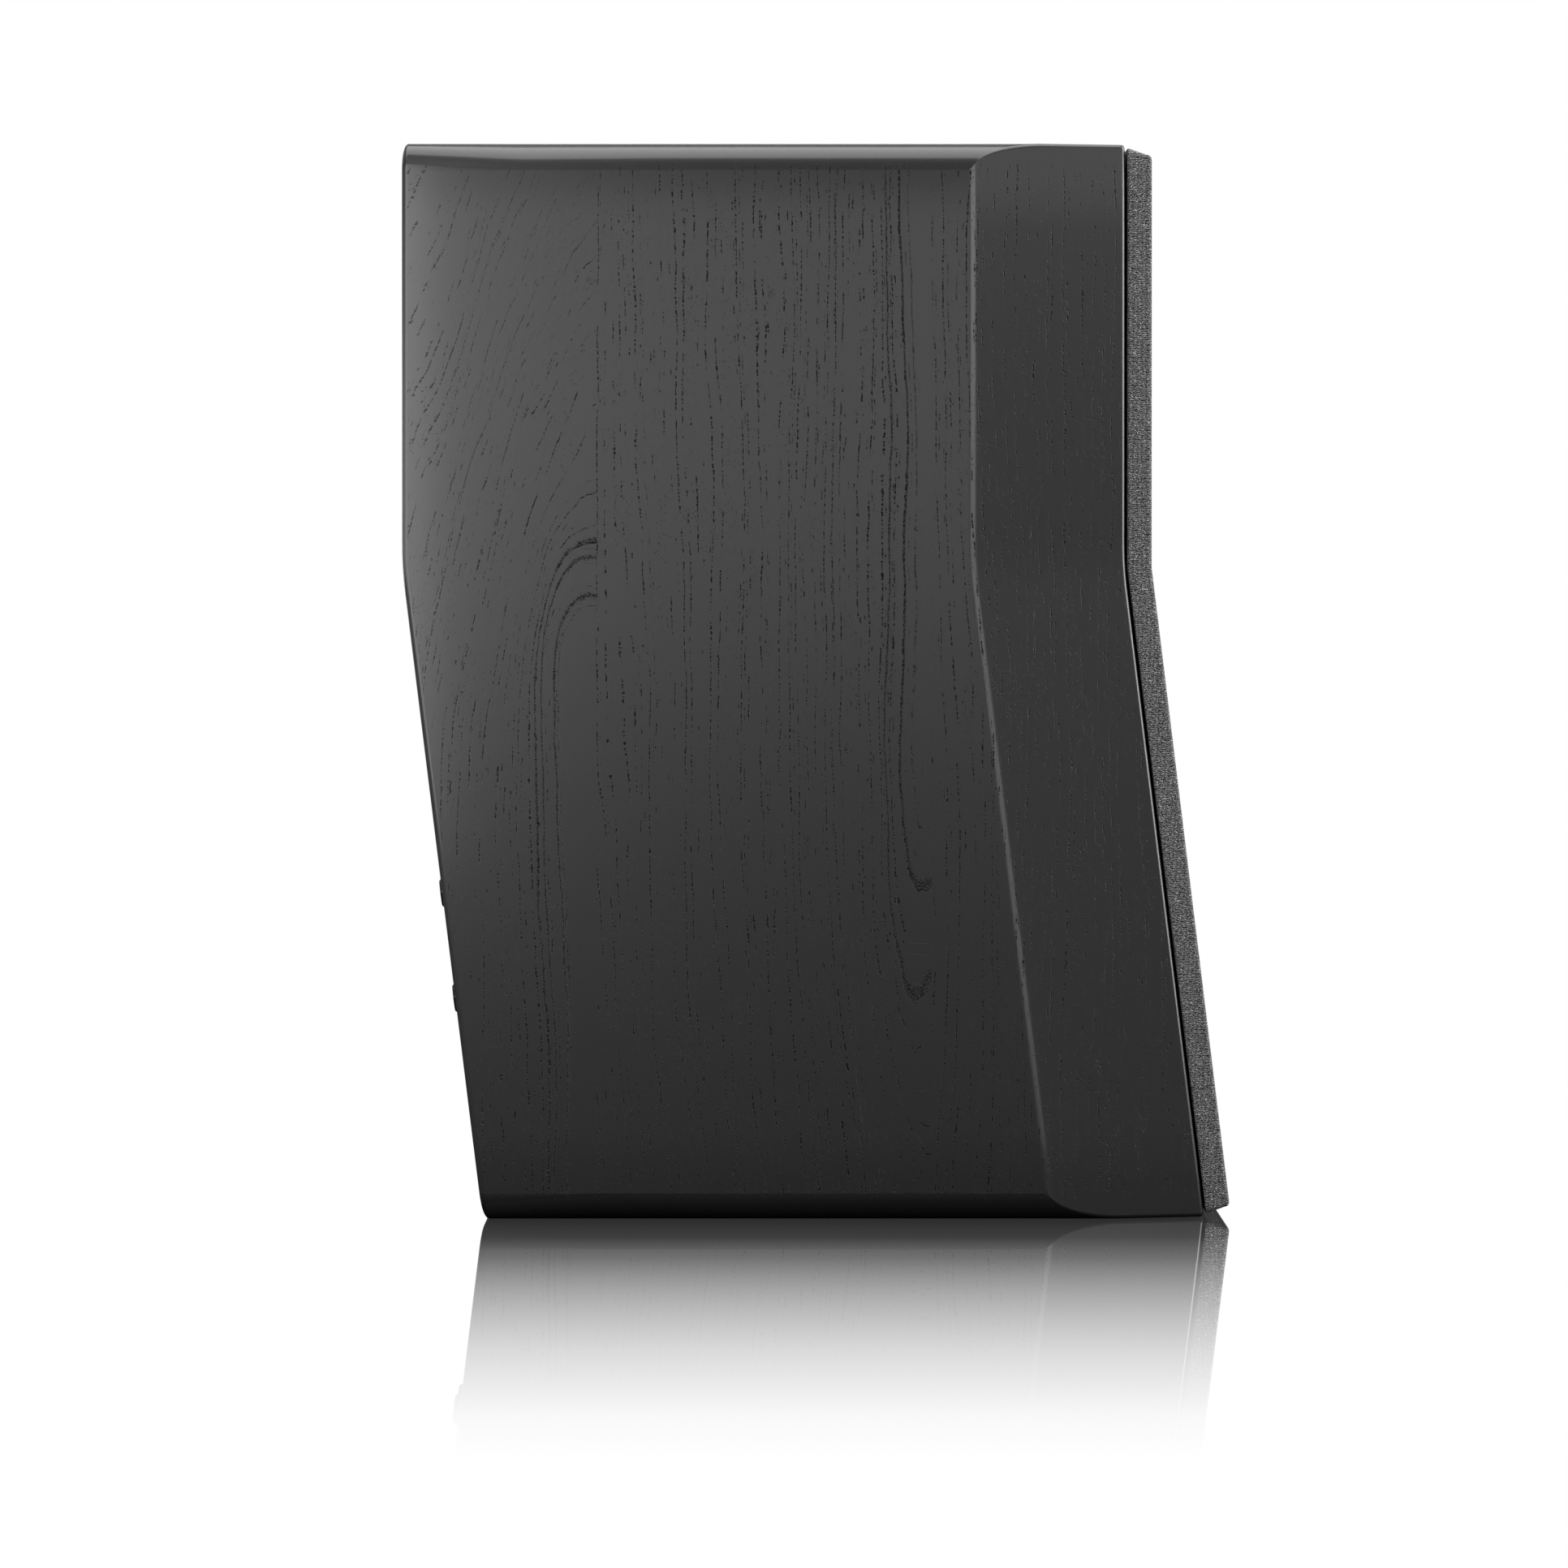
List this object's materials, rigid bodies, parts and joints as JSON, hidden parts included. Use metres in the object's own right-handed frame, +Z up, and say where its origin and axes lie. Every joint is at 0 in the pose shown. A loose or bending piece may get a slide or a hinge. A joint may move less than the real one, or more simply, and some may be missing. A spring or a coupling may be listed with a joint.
{
  "type": "bookshelf speaker",
  "caption": "Two-way bookshelf loudspeaker with a cranked black oak cabinet, bevelled sides, a creased cloth grille, a rear port and a recessed terminal cup.",
  "frame": {"origin": "centre of the outline at the level of the base", "axes": "+Z up, front (grille) towards -Y, rear (port and terminals) towards +Y, +X to the right seen from the front"},
  "size_m": [0.216, 0.2934, 0.381],
  "materials": {
    "black_oak": "black-stained open-grain oak veneer under satin lacquer",
    "black_panel": "satin black paint on board",
    "bare_board": "raw fibreboard",
    "wadding": "white polyester wadding",
    "moulded_black": "finely textured black moulding",
    "gloss_black": "polished black moulding",
    "gloss_red": "polished red moulding",
    "gold_plate": "gold-plated brass",
    "bright_steel": "zinc-plated steel",
    "black_steel": "black oxide steel",
    "circuit_board": "solder-masked glass-fibre board",
    "copper_wire": "enamelled copper wire",
    "film_wrap": "yellow polyester film wrap",
    "ceramic": "white cement",
    "red_insulation": "soft insulation, one lead red and one black",
    "cast_alloy": "textured black paint on cast aluminium",
    "foam_rubber": "closed-cell foam",
    "roll_rubber": "matt butyl rubber",
    "resin_cloth": "resin-treated cotton cloth",
    "ferrite": "sintered ferrite",
    "cone_composite": "injection-moulded graphite composite",
    "foil_former": "aluminium foil",
    "satin_faceplate": "satin black metal",
    "guard_mesh": "black perforated steel",
    "dome_metal": "pale anodised foil dome",
    "grille_cloth": "grey ribbed acoustic knit",
    "magnet_nickel": "nickel-plated magnet",
    "tinsel": "braided copper"
  },
  "bodies": {
    "cabinet": {"cabinet_wrap": "black_oak", "front_baffle": "black_panel", "rear_panel": "black_oak", "shelf_brace": "bare_board", "damping_pads": "wadding", "port_flange": "moulded_black", "port_tube": "moulded_black", "terminal_cup": "moulded_black", "terminal_cup_screws": "black_steel", "post_studs": "gold_plate", "red_post_collars": "gloss_red", "black_post_collars": "gloss_black", "post_lock_nuts": "bright_steel", "jumper_plates": "gold_plate", "crossover_board": "circuit_board", "crossover_coils": "copper_wire", "crossover_capacitors": "film_wrap", "crossover_resistors": "ceramic", "crossover_standoffs": "bright_steel", "input_leads": "red_insulation", "woofer_leads": "red_insulation", "tweeter_leads": "red_insulation", "woofer_basket": "cast_alloy", "woofer_gasket": "foam_rubber", "woofer_trim_ring": "moulded_black", "woofer_screws": "black_steel", "woofer_top_plate": "bright_steel", "woofer_magnet": "ferrite", "woofer_yoke": "bright_steel", "woofer_surround": "roll_rubber", "woofer_spider": "resin_cloth", "woofer_terminal_strip": "moulded_black", "woofer_tinsel_leads": "tinsel", "tweeter_faceplate": "satin_faceplate", "tweeter_guard": "guard_mesh", "tweeter_gasket": "foam_rubber", "tweeter_screws": "black_steel", "tweeter_top_plate": "bright_steel", "tweeter_magnet": "ferrite", "tweeter_yoke": "bright_steel", "tweeter_chamber": "moulded_black", "tweeter_surround": "roll_rubber", "baffle_magnets": "magnet_nickel"},
    "woofer_cone_assembly": {"woofer_cone": "cone_composite", "woofer_dust_cap": "gloss_black", "woofer_former": "foil_former", "woofer_voice_coil": "copper_wire"},
    "tweeter_diaphragm": {"tweeter_dome": "dome_metal", "tweeter_voice_coil": "copper_wire"},
    "grille": {"grille_frame": "moulded_black", "grille_cloth": "grille_cloth", "grille_magnets": "magnet_nickel"},
    "hf_plus_washer": {"hf_plus_washer": "gold_plate"},
    "hf_plus_nut": {"hf_plus_nut": "gloss_red"},
    "hf_minus_washer": {"hf_minus_washer": "gold_plate"},
    "hf_minus_nut": {"hf_minus_nut": "gloss_black"},
    "lf_plus_washer": {"lf_plus_washer": "gold_plate"},
    "lf_plus_nut": {"lf_plus_nut": "gloss_red"},
    "lf_minus_washer": {"lf_minus_washer": "gold_plate"},
    "lf_minus_nut": {"lf_minus_nut": "gloss_black"}
  },
  "joints": [
    {"name": "grille_pull_off", "type": "slide", "parent": "cabinet", "child": "grille", "axis": [0, -1, 0], "range_m": [0, 0.08]},
    {"name": "woofer_stroke", "type": "slide", "parent": "cabinet", "child": "woofer_cone_assembly", "axis": [0, -0.9925, 0.1219], "range_m": [-0.006, 0.006], "stiffness_N_per_m": 1200, "deforming": ["woofer_surround", "woofer_spider", "woofer_tinsel_leads"]},
    {"name": "tweeter_stroke", "type": "slide", "parent": "cabinet", "child": "tweeter_diaphragm", "axis": [0, -1, 0], "range_m": [-0.0004, 0.0004], "stiffness_N_per_m": 300, "deforming": ["tweeter_surround"]},
    {"name": "hf_plus_travel", "type": "slide", "parent": "cabinet", "child": "hf_plus_washer", "axis": [0, 0.9925, -0.1219], "range_m": [0, 0.005]},
    {"name": "hf_plus_turn", "type": "hinge", "parent": "hf_plus_washer", "child": "hf_plus_nut", "pos_m": [0.01925, 0.12676, 0.11372], "axis": [0, 0.9925, -0.1219], "range_deg": [0, 1800]},
    {"name": "hf_minus_travel", "type": "slide", "parent": "cabinet", "child": "hf_minus_washer", "axis": [0, 0.9925, -0.1219], "range_m": [0, 0.005]},
    {"name": "hf_minus_turn", "type": "hinge", "parent": "hf_minus_washer", "child": "hf_minus_nut", "pos_m": [-0.01925, 0.12676, 0.11372], "axis": [0, 0.9925, -0.1219], "range_deg": [0, 1800]},
    {"name": "lf_plus_travel", "type": "slide", "parent": "cabinet", "child": "lf_plus_washer", "axis": [0, 0.9925, -0.1219], "range_m": [0, 0.005]},
    {"name": "lf_plus_turn", "type": "hinge", "parent": "lf_plus_washer", "child": "lf_plus_nut", "pos_m": [0.01925, 0.12206, 0.0755], "axis": [0, 0.9925, -0.1219], "range_deg": [0, 1800]},
    {"name": "lf_minus_travel", "type": "slide", "parent": "cabinet", "child": "lf_minus_washer", "axis": [0, 0.9925, -0.1219], "range_m": [0, 0.005]},
    {"name": "lf_minus_turn", "type": "hinge", "parent": "lf_minus_washer", "child": "lf_minus_nut", "pos_m": [-0.01925, 0.12206, 0.0755], "axis": [0, 0.9925, -0.1219], "range_deg": [0, 1800]}
  ],
  "couplings": [
    {"joint": "hf_plus_travel", "follows": "hf_plus_turn", "m_per_rad": 0.00015915},
    {"joint": "hf_minus_travel", "follows": "hf_minus_turn", "m_per_rad": 0.00015915},
    {"joint": "lf_plus_travel", "follows": "lf_plus_turn", "m_per_rad": 0.00015915},
    {"joint": "lf_minus_travel", "follows": "lf_minus_turn", "m_per_rad": 0.00015915}
  ]
}
